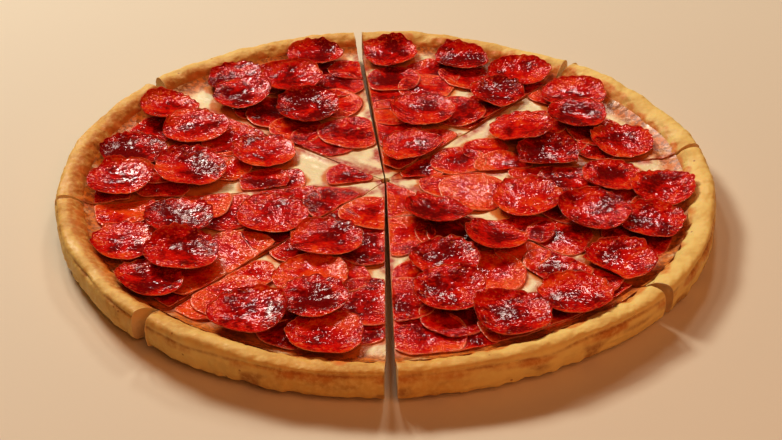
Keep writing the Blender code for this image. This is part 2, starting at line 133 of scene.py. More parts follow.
# Each slice: its two cuts, in degrees anticlockwise from +X, and the pepperoni pieces that are
# baked into its cheese, lowest first, as centre x, centre y and diameter in millimetres, then how
# bright the piece is, from dark to vivid. The upper pieces' brightness follows, in the frame's
# order.
SLICES = {
    1: {
        "cuts": (8.4, 48.5),
        "fused": [
            (100, 100, 26, 0.4), (113, 75, 32, 0.4), (98, 42, 34, 0.35), (90, 62, 30, 0.4),
            (120, 32, 24, 0.3), (122, 53, 34, 0.3), (57, 33, 26, 0.5), (20, 10, 24, 0.5),
            (40, 20, 30, 0.6), (66, 14, 30, 0.9),
        ],
        "upper": [0.15, 0.45, 0.55, 0.45, 0.2],
    },
    2: {
        "cuts": (48.9, 95.4),
        "fused": [
            (8, 23, 24, 0.4), (5, 52, 32, 0.5), (50, 70, 26, 0.4), (0, 97, 32, 0.4),
            (3, 76, 30, 0.8), (28, 128, 34, 0.4), (50, 122, 32, 0.6), (25, 108, 34, 0.5),
            (83, 106, 32, 0.3), (28, 42, 30, 0.4), (62, 84, 30, 0.4), (42, 77, 34, 0.4),
            (5, 118, 32, 0.3),
        ],
        "upper": [0.4, 0.2, 0.35, 0.35, 0.5, 0.35],
    },
    3: {
        "cuts": (96.3, 142.9),
        "fused": [
            (-62, 135, 30, 0.2), (-74, 116, 30, 0.3), (-76, 82, 30, 0.3), (-40, 104, 30, 0.5),
            (-40, 131, 34, 0.35), (-30, 88, 32, 0.7), (-65, 76, 36, 0.15), (-84, 132, 28, 0.3),
            (-22, 130, 26, 0.4), (-52, 56, 30, 0.6), (-35, 44, 36, 0.4), (-28, 110, 30, 0.3),
            (-20, 52, 36, 0.4),
        ],
        "upper": [0.25, 0.2, 0.4, 0.25, 0.15],
    },
    4: {
        "cuts": (143.3, 188.4),
        "fused": [
            (-92, 60, 26, 0.4), (-122, -8, 28, 0.5), (-150, -14, 24, 0.5), (-108, 70, 30, 0.5),
            (-135, 57, 30, 0.2), (-85, 52, 32, 0.35), (-107, 28, 38, 0.3), (-88, 40, 32, 0.3),
            (-125, 10, 30, 0.3), (-88, 14, 26, 0.9), (-55, -1, 24, 0.4), (-66, -2, 28, 0.3),
            (-20, 5, 26, 0.4),
        ],
        "upper": [0.55, 0.1, 0.35, 0.3, 0.4, 0.5],
    },
    5: {
        "cuts": (188.8, 228.8),
        "fused": [
            (-106, -110, 24, 0.3), (-128, -50, 26, 0.6), (-139, -31, 34, 0.8), (-57, -55, 34, 0.2),
            (-84, -33, 36, 0.4), (-75, -70, 38, 0.95), (-103, -24, 40, 0.9), (-120, -70, 28, 0.8),
            (-96, -93, 32, 0.95), (-52, -18, 34, 0.4), (-27, -24, 34, 0.2),
        ],
        "upper": [0.4, 0.45, 0.05, 0.5, 0.35],
    },
    6: {
        "cuts": (229.2, 270.1),
        "fused": [
            (-22, -92, 28, 0.5), (-68, -90, 26, 0.7), (-55, -118, 28, 0.6), (-12, -134, 28, 0.4),
            (-8, -66, 36, 0.2), (-28, -42, 28, 0.1), (-46, -66, 28, 0.3), (-86, -112, 32, 0.95),
            (-76, -110, 36, 0.7), (-46, -134, 34, 0.2), (-8, -34, 34, 0.8), (-8, -114, 38, 0.35),
        ],
        "upper": [0.9, 0.5, 0.15, 0.3, 0.4],
    },
    7: {
        "cuts": (271.4, 320.3),
        "fused": [
            (28, -52, 26, 0.3), (86, -130, 26, 0.6), (110, -100, 26, 0.3), (8, -20, 36, 0.6),
            (8, -55, 36, 0.5), (38, -54, 34, 0.2), (70, -70, 28, 0.8), (16, -92, 26, 0.4),
            (42, -146, 24, 0.4), (45, -104, 32, 0.3), (104, -93, 30, 0.4), (78, -122, 32, 0.4),
            (20, -139, 36, 0.5), (34, -126, 34, 0.3), (52, -90, 36, 0.9), (8, -112, 38, 0.35),
            (88, -82, 34, 0.4), (60, -134, 32, 0.8),
        ],
        "upper": [0.3, 0.3, 0.25, 0.35, 0.5, 0.25],
    },
    8: {
        "cuts": (320.7, 368.0),
        "fused": [
            (82, 6, 26, 0.5), (98, -28, 34, 0.3), (120, -22, 34, 0.4), (144, -30, 28, 0.5),
            (37, 1, 38, 0.5), (100, -4, 34, 0.3), (48, -13, 36, 0.9), (90, -57, 34, 0.5),
            (73, -50, 30, 0.3), (130, -58, 36, 0.3),
        ],
        "upper": [0.6, 0.45, 0.35, 0.3, 0.35, 0.3],
    },
}


def size(label, text, value):
    """A length that a user may change, in metres."""
    return bpy.props.FloatProperty(
        name=label, description=text, default=value, unit="LENGTH", precision=5)


def colour(label, text, value):
    """A colour that a user may change."""
    return bpy.props.FloatVectorProperty(
        name=label, description=text, default=value, subtype="COLOR", size=3, min=0.0, max=1.0)


class PizzaSizes(bpy.types.PropertyGroup):
    pizza_radius: size("Pizza radius", "From the centre to the rim's outer wall", 178.0 * MM)
    dough_thickness: size("Dough thickness", "The base under the cheese", 8.0 * MM)
    rim_foot_radius: size("Rim foot radius", "Where the rim starts to rise", 158.5 * MM)
    rim_slope_run: size("Rim slope run", "How far the rim's inner slope runs outwards", 5.0 * MM)
    rim_slope_top: size("Rim slope top", "The height that the inner slope rises to", 15.5 * MM)
    tip_radius: size("Tip radius", "How blunt a slice's tip is", 1.6 * MM)
    slice_push: size("Slice push", "How far each slice lies from the centre", 0.9 * MM)
    touch_gap: size("Touch gap", "The gap between touching solids", 0.3 * MM)
    rim_wander: size("Rim wander", "How far the rim wanders in and out", 3.2 * MM)
    rim_lumps: size("Rim lumps", "How far the rim's lumps stand out", 1.6 * MM)
    cheese_top: size("Cheese top", "The mean level of the melted cheese", 12.3 * MM)
    cheese_edge_top: size("Cheese edge top", "How high the cheese climbs the rim", 15.0 * MM)
    cheese_bump: size("Cheese bump", "How far the cheese rises and sinks", 1.2 * MM)
    cheese_bump_size: size("Cheese bump size", "How wide its lumps are", 17.0 * MM)
    pepperoni_thickness: size("Pepperoni thickness", "A baked pepperoni piece", 1.3 * MM)
    cup_depth: size("Cup depth", "How far a piece's edge curls up", 1.7 * MM)
    edge_wave: size("Edge wave", "How far a piece's edge waves", 0.8 * MM)


class PizzaColours(bpy.types.PropertyGroup):
    dough_pale: colour("Pale dough", "The least baked dough", (0.89, 0.66, 0.22))
    dough_gold: colour("Golden dough", "The rim's main colour", (0.77, 0.43, 0.09))
    # Toasted brown also paints the shade of the dark line in the rim's crease
    dough_brown_and_shade: colour("Toasted dough", "The most baked patches", (0.36, 0.11, 0.015))
    # Amber paints the shade in the band under the rim's crease, and the amber of the rim's inner
    # slope
    amber_dough_and_shade: colour("Amber dough", "The band under the rim's crease", (0.60, 0.20, 0.015))
    crumb: colour("Crumb", "The dough where it is cut", (0.72, 0.50, 0.25))
    cheese_ivory: colour("Cheese", "Clean melted cheese", (0.93, 0.84, 0.54))
    cheese_orange: colour("Stained cheese", "Cheese stained by the oil", (0.74, 0.22, 0.02))
    sauce: colour("Sauce", "Sauce that seeps out at the cuts", (0.52, 0.05, 0.008))
    # Dark pepperoni stands for pooled oil in the middle of a piece, and partly for painted shade in
    # its cup
    pepperoni_dark: colour("Dark pepperoni", "The middle of a baked piece", (0.20, 0.001, 0.002))
    pepperoni_red: colour("Red pepperoni", "A piece's main colour", (0.67, 0.006, 0.003))
    pepperoni_bright: colour("Bright pepperoni", "The most vivid pieces", (0.90, 0.095, 0.008))
    pepperoni_fat: colour("Pepperoni fat", "Orange flecks of fat", (0.92, 0.28, 0.07))
    # Painted highlight: the lit colour of a piece's thin raised edge
    pepperoni_lit_edge: colour("Pepperoni edge", "The thin edge line", (0.95, 0.42, 0.26))
    floor: colour("Floor", "The plain floor", (0.78, 0.71, 0.57))


def sizes():
    """The sizes in use."""
    return bpy.context.scene.pizza_sizes


def colours():
    """The colours in use."""
    return bpy.context.scene.pizza_colours


# Shape functions that the dough, the cheese and the toppings share

def ramp(value, start, end):
    """A smooth step from 0 at start to 1 at end."""
    t = min(1.0, max(0.0, (value - start) / (end - start)))
    return t * t * (3.0 - 2.0 * t)


def heading_of(direction):
    """The level unit vector that points one way."""
    return Vector((math.cos(direction), math.sin(direction), 0.0))


def round_wobble(angle, waves, layer):
    """Smooth unevenness round the pizza that closes on itself."""
    return noise.noise(Vector((math.cos(angle) * waves, math.sin(angle) * waves, layer * 7.3)))


def uneven(angle, radius, height):
    """Where a point of a perfectly round pizza lies on this hand-stretched one."""
    s = sizes()
    amount = ramp(radius, 120.0 * MM, s.rim_foot_radius - 1.0 * MM)
    radius += amount * s.rim_wander * round_wobble(angle, 1.1, 1)
    radius += amount * s.rim_lumps * round_wobble(angle, 5.0, 2)
    height *= 1.0 + amount * 0.14 * round_wobble(angle, 3.0, 3)
    return radius, height


def slice_push(cuts):
    """How far the slice lies from the centre, along its middle."""
    return heading_of(math.radians(sum(cuts) / 2.0)) * sizes().slice_push


def cheese_bump(x, y):
    """How much the melted cheese stands above or below its mean level."""
    s = sizes()
    across, along = x / s.cheese_bump_size, y / s.cheese_bump_size
    return s.cheese_bump * noise.noise(Vector((across, along, 4.7)))


def cut_lines(cuts):
    """Both cuts of a slice, as a point on them and the direction into the slice."""
    push = slice_push(cuts)
    start, end = (math.radians(cut) for cut in cuts)
    from_start = Vector((-math.sin(start), math.cos(start), 0.0))
    from_end = Vector((math.sin(end), -math.cos(end), 0.0))
    return [(push, from_start), (push, from_end)]


def outline_radius(piece, cuts, direction):
    """How far a lower pepperoni piece reaches one way, in the round's own coordinates."""
    s = sizes()
    x, y, diameter = piece[:3]
    centre = Vector((x, y, 0.0)) * MM
    heading = heading_of(direction)
    place = Vector((math.cos(direction) * 1.3, math.sin(direction) * 1.3, x + y * 0.37))
    wobble = noise.noise(place)
    reach = diameter / 2.0 * MM * 1.04 * (1.0 + 0.16 * wobble)
    for point, inward in cut_lines(cuts):
        towards = -inward.dot(heading)
        if towards > 0.0:
            reach = min(reach, ((centre - point).dot(inward) - 0.15 * MM) / towards)
    end = centre + heading * reach
    limit = uneven(math.atan2(end.y, end.x), s.rim_foot_radius - 0.5 * MM, 0.0)[0]
    along = centre.dot(heading)
    return min(reach, -along + math.sqrt(along * along - centre.length_squared + limit * limit))


def curl(piece, direction, fraction):
    """How much a baked piece rises towards its edge."""
    s = sizes()
    x, y = piece[:2]
    cup = s.cup_depth * (1.0 + 0.9 * noise.noise(Vector((x * 0.31, y * 0.31, 2.2))))
    phase = 6.0 * noise.noise(Vector((x * 0.17, y * 0.17, 9.1)))
    wave = math.sin(2.0 * direction + phase) + 0.6 * math.sin(3.0 * direction - phase)
    return cup * fraction ** 3 + s.edge_wave * wave * fraction ** 2


# Working on meshes by hand

def deselect_all():
    """Leave nothing selected."""
    if bpy.context.object and bpy.context.object.mode != "OBJECT":
        bpy.ops.object.mode_set(mode="OBJECT")
    bpy.ops.object.select_all(action="DESELECT")


def take(piece):
    """Select one object and make it active."""
    deselect_all()
    piece.hide_set(False)
    piece.select_set(True)
    bpy.context.view_layer.objects.active = piece


def cad_copy(node_name, name):
    """A free copy of a CAD node, its loose triangles merged back into a skin of quads."""
    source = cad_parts[node_name]
    piece = bpy.data.objects.new(name, source.data.copy())
    bpy.context.scene.collection.objects.link(piece)
    piece.data.materials.clear()
    take(piece)
    bpy.ops.object.mode_set(mode="EDIT")
    bpy.ops.mesh.select_all(action="SELECT")
    bpy.ops.mesh.remove_doubles(threshold=0.01 * MM)
    bpy.ops.mesh.customdata_custom_splitnormals_clear()
    bpy.ops.mesh.tris_convert_to_quads(
        face_threshold=math.radians(50), shape_threshold=math.radians(70))
    bpy.ops.object.mode_set(mode="OBJECT")
    return piece


def crease_sharp(piece, angle, amount):
    """Crease the edges that turn by more than an angle, so that subdivision keeps them."""
    bm = bmesh.new()
    bm.from_mesh(piece.data)
    layer = bm.edges.layers.float.get("crease_edge") or bm.edges.layers.float.new("crease_edge")
    for edge in bm.edges:
        if len(edge.link_faces) == 2 and edge.calc_face_angle() > angle:
            edge[layer] = amount
    bm.to_mesh(piece.data)
    bm.free()


def subdivide(piece, levels):
    """Apply a Subdivision Surface."""
    take(piece)
    modifier = piece.modifiers.new("smooth", "SUBSURF")
    modifier.levels = levels
    modifier.render_levels = levels
    bpy.ops.object.modifier_apply(modifier=modifier.name)


def smooth(piece, degrees=60.0):
    """Smooth shading, except across sharp edges."""
    take(piece)
    bpy.ops.object.shade_smooth_by_angle(angle=math.radians(degrees))


def write_attributes(piece, lists):
    """Lists of one number for each vertex, for a material to read by name."""
    for name, values in lists.items():
        layer = piece.data.attributes.new(name, "FLOAT", "POINT")
        layer.data.foreach_set("value", values)


def object_tree(piece):
    """A search tree of an object's surface."""
    bm = bmesh.new()
    bm.from_mesh(piece.data)
    tree = BVHTree.FromBMesh(bm)
    bm.free()
    return tree


def finish_piece(piece, material, nodes):
    """Dress a piece, hang it on the body and let it stand for its CAD nodes."""
    piece.data.materials.clear()
    piece.data.materials.append(material)
    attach(piece, "root")
    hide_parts(*nodes)


# Materials

def add(tree, kind, sockets=None, **settings):
    """A shader node with its settings, and its sockets filled by values or links."""
    made = tree.nodes.new(kind)
    for key, value in settings.items():
        setattr(made, key, value)
    for key, value in (sockets or {}).items():
        if isinstance(value, bpy.types.NodeSocket):
            tree.links.new(value, made.inputs[key])
        else:
            made.inputs[key].default_value = value
    return made


def new_material(name):
    """A Principled material, its node tree and its shader."""
    material = bpy.data.materials.new(name)
    material.use_nodes = True
    tree = material.node_tree
    return material, tree, tree.nodes["Principled BSDF"]


def coordinates(tree):
    """The piece's own coordinates."""
    return add(tree, "ShaderNodeTexCoord").outputs["Object"]


def grain(tree, vector, width, detail=3.0, roughness=0.55, distortion=0.0):
    """Noise whose lumps are about one width across."""
    return add(tree, "ShaderNodeTexNoise", {
        "Vector": vector, "Scale": 0.5 / width, "Detail": detail, "Roughness": roughness,
        "Distortion": distortion}).outputs["Fac"]


def cells(tree, vector, scale):
    """How far a place lies from the middle of the nearest cell."""
    return add(tree, "ShaderNodeTexVoronoi", {"Vector": vector, "Scale": scale}).outputs["Distance"]


def scaled(tree, value, low, high, to_low=0.0, to_high=1.0):
    """A number mapped smoothly from one range to another, and held inside it."""
    return add(tree, "ShaderNodeMapRange", {
        "Value": value, "From Min": low, "From Max": high, "To Min": to_low, "To Max": to_high},
        interpolation_type="SMOOTHSTEP").outputs["Result"]


def opaque(value):
    """A colour as a socket takes it: a link as it is, or three numbers and a full alpha."""
    return value if isinstance(value, bpy.types.NodeSocket) else (*value, 1.0)


def mixed(tree, factor, first, second):
    """Two colours mixed by a factor. The Mix node's colour sockets are its 6th, 7th and 2nd."""
    return add(tree, "ShaderNodeMix", {0: factor, 6: opaque(first), 7: opaque(second)},
               data_type="RGBA").outputs[2]


def maths(tree, operation, first, second=0.0):
    """One sum on two numbers."""
    return add(tree, "ShaderNodeMath", {0: first, 1: second}, operation=operation).outputs[0]


def added(tree, first, second):
    """The sum of two numbers."""
    return maths(tree, "ADD", first, second)


def times(tree, first, second):
    """The product of two numbers."""
    return maths(tree, "MULTIPLY", first, second)


def swing(tree, value, amount):
    """Noise as a number that swings as far below 0 as above it."""
    return times(tree, maths(tree, "SUBTRACT", value, 0.5), amount)


def read(tree, name):
    """A number written on the piece's vertices."""
    return add(tree, "ShaderNodeAttribute", attribute_name=name).outputs["Fac"]


def soften(shader, weight, radius):
    """Let a little light into the surface."""
    shader.inputs["Subsurface Weight"].default_value = weight
    shader.inputs["Subsurface Scale"].default_value = 3.0 * MM
    shader.inputs["Subsurface Radius"].default_value = radius


def bump(tree, height, distance, strength, normal=None):
    """A bump from a height of 0 to 1 that stands for a distance."""
    sockets = {"Height": height, "Distance": distance, "Strength": strength}
    if normal is not None:
        sockets["Normal"] = normal
    return add(tree, "ShaderNodeBump", sockets).outputs["Normal"]


def crust_material():
    """Baked dough: pale to golden, toasted in patches, with a fine dry grain and dark pits."""
    c = colours()
    material, tree, shader = new_material("baked_dough")
    place = coordinates(tree)
    broad = grain(tree, place, 24.0 * MM, 2.0)
    middle = grain(tree, place, 7.0 * MM, 5.0, 0.6)
    fine = grain(tree, place, 1.3 * MM, 4.0, 0.6)
    sideways = add(tree, "ShaderNodeSeparateXYZ", {"Vector": place}).outputs["X"]
    either_way = maths(tree, "ABSOLUTE", sideways)
    side = scaled(tree, sideways, -0.17, 0.16, 0.25, -0.15)
    side = added(tree, side, scaled(tree, either_way, 0.03, 0.1, 0.2, -0.14))
    side = added(tree, side, scaled(tree, sideways, -0.175, -0.13, 0.2, 0.0))
    shade = added(tree, times(tree, broad, 0.9), side)
    gold = mixed(tree, scaled(tree, shade, 0.25, 0.95), c.dough_pale, c.dough_gold)
    patches = scaled(tree, middle, 0.46, 0.66)
    patches = times(tree, patches, scaled(tree, shade, 0.2, 1.0, 0.25, 0.9))
    toasted = mixed(tree, times(tree, patches, 0.35), gold, c.dough_brown_and_shade)
    blotch = swing(tree, middle, 1.3)
    baked = scaled(tree, added(tree, read(tree, "bake"), blotch), 0.1, 1.0, 0.0, 0.7)
    toasted = mixed(tree, baked, toasted, c.dough_brown_and_shade)
    # Amber: painted shade in a band below the rim's crease, and amber on the rim's inner slope
    amber_and_shade = scaled(tree, added(tree, read(tree, "amber_and_shade"), blotch), 0.15, 0.95, 0.0, 0.85)
    toasted = mixed(tree, amber_and_shade, toasted, c.amber_dough_and_shade)
    # The dark line along the rim's crease is painted shade, in toasted brown
    line = times(tree, read(tree, "crease"), scaled(tree, middle, 0.35, 0.6, 0.15, 0.65))
    toasted = mixed(tree, line, toasted, c.dough_brown_and_shade)
    dusty = mixed(tree, scaled(tree, fine, 0.4, 0.7, 0.0, 0.45), toasted, c.dough_pale)
    stain = times(tree, read(tree, "stain"), scaled(tree, fine, 0.3, 0.65, 0.5, 1.0))
    stained = mixed(tree, stain, dusty, c.cheese_orange)
    pits = cells(tree, place, 0.1 / MM)
    pitted = mixed(tree, scaled(tree, pits, 0.04, 0.09, 0.7, 0.0), stained, c.dough_brown_and_shade)
    crumb = mixed(tree, scaled(tree, middle, 0.4, 0.65, 0.0, 0.5), c.crumb, c.dough_gold)
    tone = mixed(tree, read(tree, "cut_face"), pitted, crumb)
    tree.links.new(tone, shader.inputs["Base Color"])
    tree.links.new(scaled(tree, middle, 0.3, 0.7, 0.45, 0.7), shader.inputs["Roughness"])
    shader.inputs["Specular IOR Level"].default_value = 0.28
    surface = bump(tree, middle, 0.9 * MM, 0.7)
    tree.links.new(bump(tree, fine, 0.25 * MM, 0.7, surface), shader.inputs["Normal"])
    soften(shader, 0.1, (1.0, 0.5, 0.25))
    return material


def cheese_material():
    """Melted cheese: ivory and smooth, stained orange by the oil and browned at the rim."""
    c = colours()
    material, tree, shader = new_material("melted_cheese")
    place = coordinates(tree)
    middle = grain(tree, place, 5.0 * MM, 4.0)
    fine = grain(tree, place, 1.4 * MM, 3.0)
    oil = added(tree, times(tree, read(tree, "oil"), 1.25), swing(tree, middle, 1.6))
    oiled = scaled(tree, oil, 0.45, 1.15, 0.0, 0.95)
    tone = mixed(tree, oiled, c.cheese_ivory, c.cheese_orange)
    rim = read(tree, "rim")
    orange = times(tree, rim, scaled(tree, middle, 0.3, 0.55, 0.35, 1.0))
    tone = mixed(tree, orange, tone, c.cheese_orange)
    seep = times(tree, read(tree, "sauce"), scaled(tree, fine, 0.3, 0.6, 0.5, 1.0))
    tone = mixed(tree, seep, tone, c.sauce)
    brown = times(tree, rim, scaled(tree, fine, 0.42, 0.62, 0.0, 0.9))
    tone = mixed(tree, brown, tone, c.dough_brown_and_shade)
    tree.links.new(tone, shader.inputs["Base Color"])
    tree.links.new(scaled(tree, middle, 0.3, 0.7, 0.28, 0.44), shader.inputs["Roughness"])
    shader.inputs["Specular IOR Level"].default_value = 0.3
    surface = bump(tree, middle, 1.2 * MM, 0.8)
    tree.links.new(bump(tree, fine, 0.2 * MM, 0.5, surface), shader.inputs["Normal"])
    soften(shader, 0.2, (1.0, 0.6, 0.3))
    shader.inputs["Coat Weight"].default_value = 0.04
    shader.inputs["Coat Roughness"].default_value = 0.12
    return material


def pepperoni_material():
    """Oily cured sausage: deep red pools in the middle, partly painted shade, grainy slopes, and a
    painted highlight along the thin lit edge.
    """
    c = colours()
    material, tree, shader = new_material("oily_pepperoni")
    place = coordinates(tree)
    broad = grain(tree, place, 8.0 * MM, 3.0, 0.6, 0.4)
    middle = grain(tree, place, 2.4 * MM, 4.0, 0.65)
    fine = grain(tree, place, 0.8 * MM, 3.0, 0.6)
    edge = read(tree, "edge")
    tone = read(tree, "tone")
    wander = swing(tree, broad, 3.0)
    dry = scaled(tree, added(tree, edge, times(tree, wander, 0.35)), 0.35, 0.75)
    # Darker in the middle and brighter towards the edge: partly pooled oil, partly painted shade in
    # the cup and painted light on the raised edge
    light = added(tree, times(tree, maths(tree, "POWER", edge, 2.0), 0.45), wander)
    light = added(tree, light, swing(tree, middle, 1.5))
    light = added(tree, light, swing(tree, fine, 0.8))
    light = added(tree, light, tone)
    red = mixed(tree, scaled(tree, light, 0.05, 0.8), c.pepperoni_dark, c.pepperoni_red)
    red = mixed(tree, scaled(tree, light, 0.7, 1.35), red, c.pepperoni_bright)
    flecks = times(tree, scaled(tree, fine, 0.54, 0.64), scaled(tree, tone, 0.0, 1.0, 0.2, 0.7))
    flecks = times(tree, flecks, scaled(tree, dry, 0.0, 1.0, 0.15, 1.0))
    red = mixed(tree, flecks, red, c.pepperoni_fat)
    # Painted highlight along the thin lit edge, broken into stretches
    lip = times(tree, read(tree, "lip"), scaled(tree, broad, 0.38, 0.54, 0.1, 0.9))
    lip = times(tree, lip, scaled(tree, fine, 0.35, 0.5, 0.4, 1.0))
    red = mixed(tree, lip, red, c.pepperoni_lit_edge)
    tree.links.new(red, shader.inputs["Base Color"])
    tree.links.new(scaled(tree, dry, 0.0, 1.0, 0.11, 0.17), shader.inputs["Roughness"])
    shader.inputs["Specular IOR Level"].default_value = 0.15
    surface = bump(tree, middle, 0.9 * MM, scaled(tree, dry, 0.0, 1.0, 0.16, 0.36))
    domes = scaled(tree, cells(tree, place, 0.42 / MM), 0.05, 0.65)
    surface = bump(tree, domes, 0.5 * MM, scaled(tree, dry, 0.0, 1.0, 0.2, 0.48), surface)
    surface = bump(tree, fine, 0.2 * MM, scaled(tree, dry, 0.0, 1.0, 0.2, 0.45), surface)
    tree.links.new(surface, shader.inputs["Normal"])
    soften(shader, 0.3, (1.0, 0.08, 0.04))
    return material


# The pieces

def crease_offset(circle, height):
    """How far a place lies above the crease that runs round the rim's wall."""
    return height - CREASE_HEIGHT - CREASE_WANDER * noise.noise(circle / CREASE_WAVE)


def relief_on_crust(point, normal_z):
    """How far the baked dough stands out of its smooth form at a place."""
    s = sizes()
    radius = math.hypot(point.x, point.y)
    if radius < s.rim_foot_radius - 4.0 * MM:
        return 0.0
    along = math.atan2(point.y, point.x) * s.pizza_radius
    height = point.z
    circle = Vector((point.x, point.y, 0.0))
    pleats = noise.noise(Vector((along / PLEAT_WIDTH, height / PLEAT_HEIGHT, 3.0)))
    folds = noise.noise(Vector((along / FOLD_WIDTH, height / FOLD_HEIGHT, 8.0)))
    low = 1.0 - ramp(height, 3.0 * MM, 15.0 * MM)
    wall = ramp(radius, s.pizza_radius - WALL_START, s.pizza_radius - 2.0 * MM)
    pleated = 0.7 + 0.9 * noise.noise(circle / (50.0 * MM) + Vector((0.0, 0.0, 9.0)))
    relief = wall * low * (PLEAT_DEPTH * pleated * pleats + FOLD_DEPTH * folds)
    there = ramp(noise.noise(circle / (30.0 * MM) + Vector((0.0, 0.0, 5.0))), -0.3, 0.1)
    off_line = crease_offset(circle, height) / CREASE_HALF
    relief -= wall * there * CREASE_DEPTH * math.exp(-off_line * off_line)
    blisters = noise.noise(point / BLISTER_WIDTH) + 0.6 * noise.noise(point / SMALL_BLISTER)
    relief += BLISTER_HEIGHT * blisters * (0.4 + 0.6 * max(0.0, normal_z))
    inner = 1.0 - ramp(radius, s.rim_foot_radius + 5.0 * MM, s.rim_foot_radius + 11.0 * MM)
    lumps = noise.noise(Vector((along / LUMP_WIDTH, radius / LUMP_WIDTH, 1.0)))
    relief += inner * LUMP_HEIGHT * lumps
    relief += GRAIN_HEIGHT * noise.noise(point / GRAIN_WIDTH)
    return relief - 0.3 * MM * wall


def make_crust(number, material):
    """One slice's dough: the CAD form, smoothed, with wrinkles, blisters and a crumbly cut face."""
    name = f"crust_{number}"
    piece = cad_copy(name, name + "_baked")
    crease_sharp(piece, math.radians(60.0), 1.0)
    subdivide(piece, CRUST_LEVELS)
    mesh = piece.data
    cut_face, bake, amber_and_shade, crease, stain, moved = [], [], [], [], [], []
    s = sizes()
    for vert in mesh.vertices:
        point, normal = vert.co - ROUND_CENTRE, vert.normal
        flat = Vector((point.x, point.y, 0.0))
        sideways = abs(normal.y * flat.x - normal.x * flat.y) / max(flat.length, 1.0 * MM)
        on_cut = ramp(sideways, 0.45, 0.75)
        cut_face.append(on_cut)
        relief = relief_on_crust(point, normal.z)
        radius = flat.length
        along = math.atan2(point.y, point.x) * s.pizza_radius
        wall = ramp(radius, s.pizza_radius - WALL_START, s.pizza_radius - 3.0 * MM)
        patch = noise.noise(Vector((along / (14.0 * MM), point.z / (9.0 * MM), 4.0)))
        patch = ramp(patch, -0.15, 0.55)
        low = 1.0 - ramp(point.z, 9.0 * MM, 16.0 * MM)
        left = ramp(-point.x / max(radius, 1.0 * MM), 0.3, 0.9)
        bake.append(wall * patch * low * (1.0 - 0.8 * left))
        # Painted shade: a patchy amber band just below the crease, left off on the left side
        below = (crease_offset(flat, point.z) + SHADE_BAND_DROP) / SHADE_BAND_HALF
        band = ramp(noise.noise(Vector((along / (22.0 * MM), 0.0, 12.0))), -0.25, 0.2)
        inside = 1.0 - ramp(radius, s.pizza_radius - WALL_START, s.pizza_radius - 4.0 * MM)
        # Painted shade: a dark line along the crease
        on_shade_line = (crease_offset(flat, point.z) + SHADE_LINE_DROP) / SHADE_LINE_HALF
        crease.append(wall * math.exp(-on_shade_line * on_shade_line))
        crease_shade_band = wall * band * (1.0 - left) * math.exp(-below * below)
        # This mark holds the painted shade band and also amber on the rim's inner slope, laid far
        # more on the left side
        amber_and_shade.append(max(crease_shade_band, inside * (0.15 + 0.85 * left)))
        wander = noise.noise(point / (8.0 * MM) + Vector((3.0, 6.0, 2.0)))
        reach = s.rim_foot_radius + STAIN_REACH + STAIN_WANDER * wander
        stain.append(1.0 - ramp(radius, reach - 4.0 * MM, reach))
        if on_cut > 0.5:
            relief = min(0.0, 0.35 * MM * noise.noise(point / (2.5 * MM)))
        shift = normal * relief
        if point.z < 0.4 * MM:
            shift = Vector((shift.x, shift.y, 0.0))
        moved.append(vert.co + shift)
    for vert, place in zip(mesh.vertices, moved):
        vert.co = Vector((place.x, place.y, max(0.0, place.z)))
    write_attributes(piece, {
        "cut_face": cut_face, "bake": bake, "amber_and_shade": amber_and_shade, "crease": crease, "stain": stain})
    smooth(piece)
    finish_piece(piece, material, [name])


def cheese_section():
    """The cheese's outline along one spoke, as radius and height."""
    s = sizes()
    bottom = s.dough_thickness + s.touch_gap
    low_edge = s.rim_foot_radius - 0.3 * MM
    climb = s.rim_slope_top - s.dough_thickness
    high_edge = low_edge + (s.cheese_edge_top - bottom) * s.rim_slope_run / climb
    last = high_edge - CHEESE_RISE
    top = []
    for ring in range(CHEESE_RINGS + 1):
        top.append((s.tip_radius + (last - s.tip_radius) * ring / CHEESE_RINGS, s.cheese_top))
    for step in range(1, RISE_STEPS + 1):
        part = step / RISE_STEPS
        height = s.cheese_top + (s.cheese_edge_top - s.cheese_top) * part * part
        top.append((last + CHEESE_RISE * part, height))
    return [(s.tip_radius, bottom), (low_edge, bottom)] + top[::-1]


def sweep(name, section, cuts, steps):
    """A closed slice: its section spun from one cut to the other in edit mode."""
    start, end = (math.radians(cut) for cut in cuts)
    deselect_all()
    bpy.ops.mesh.primitive_circle_add(vertices=len(section), radius=0.01, fill_type="NGON")
    piece = bpy.context.object
    piece.name = name
    for vert, (radius, height) in zip(piece.data.vertices, section):
        vert.co = (radius * math.cos(start), radius * math.sin(start), height)
    bpy.ops.object.mode_set(mode="EDIT")
    bpy.ops.mesh.select_all(action="SELECT")
    bpy.ops.mesh.spin(steps=steps, angle=end - start, center=(0.0, 0.0, 0.0), axis=(0.0, 0.0, -1.0))
    bpy.ops.mesh.select_all(action="SELECT")
    bpy.ops.mesh.normals_make_consistent(inside=False)
    bpy.ops.object.mode_set(mode="OBJECT")
    return piece


def upper_disc(node_name):
    """An upper piece's centre x and y, in the round's own coordinates, and its radius."""
    corners = [vert.co - ROUND_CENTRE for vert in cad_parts[node_name].data.vertices]
    centre = sum(corners, Vector()) / len(corners)
    half = (max(c.x for c in corners) - min(c.x for c in corners)) / 2.0
    return centre.x, centre.y, half


